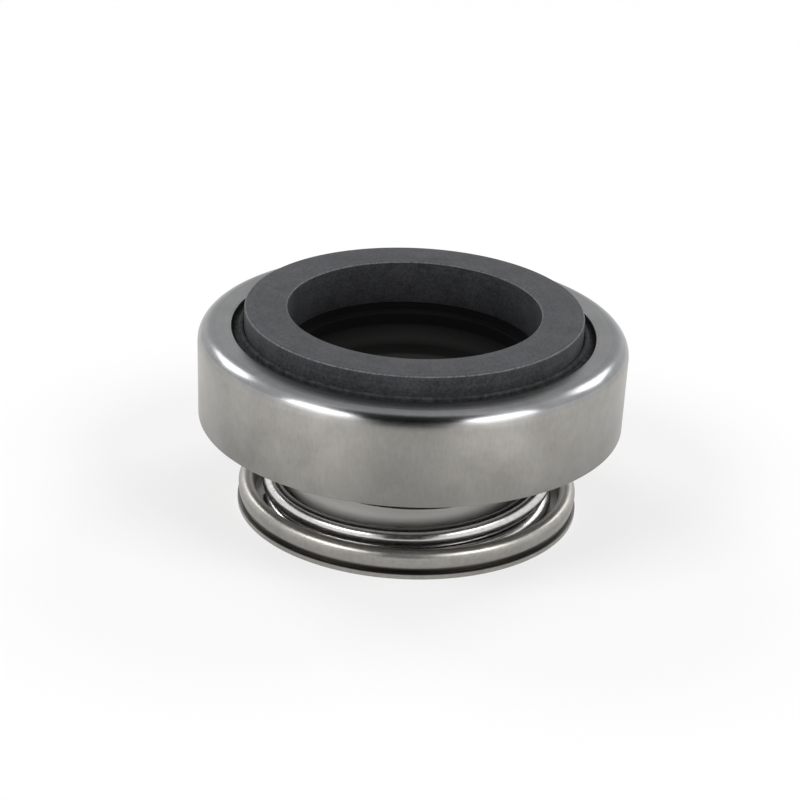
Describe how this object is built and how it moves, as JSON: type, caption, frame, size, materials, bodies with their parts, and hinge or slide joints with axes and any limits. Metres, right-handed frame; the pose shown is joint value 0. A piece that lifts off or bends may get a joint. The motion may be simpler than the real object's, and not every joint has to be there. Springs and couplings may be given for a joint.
{
  "type": "mechanical seal rotary head",
  "caption": "Rotary head of an elastomer bellows shaft seal: carbon face ring, steel shell, coil spring and retainer.",
  "frame": {"origin": "on the seal axis, at the underside of the spring retainer", "axes": "+Z along the seal axis, from the spring retainer towards the sealing face of the carbon ring"},
  "size_m": [0.04, 0.04, 0.0197],
  "materials": {
    "carbon_graphite": "satin",
    "black_rubber": "matte",
    "stainless_sheet": "satin",
    "stainless_wire": "gloss"
  },
  "bodies": {
    "tail": {"spring_retainer": "stainless_sheet", "rubber_bellows": "black_rubber", "compression_spring": "stainless_wire"},
    "head": {"seal_ring": "carbon_graphite", "housing_shell": "stainless_sheet", "thrust_washer": "stainless_sheet"}
  },
  "joints": [
    {"name": "spring_travel", "type": "slide", "parent": "tail", "child": "head", "axis": [0, 0, 1], "range_m": [-0.0025, 0], "stiffness_N_per_m": 1800, "deforming": ["compression_spring", "rubber_bellows"]}
  ]
}
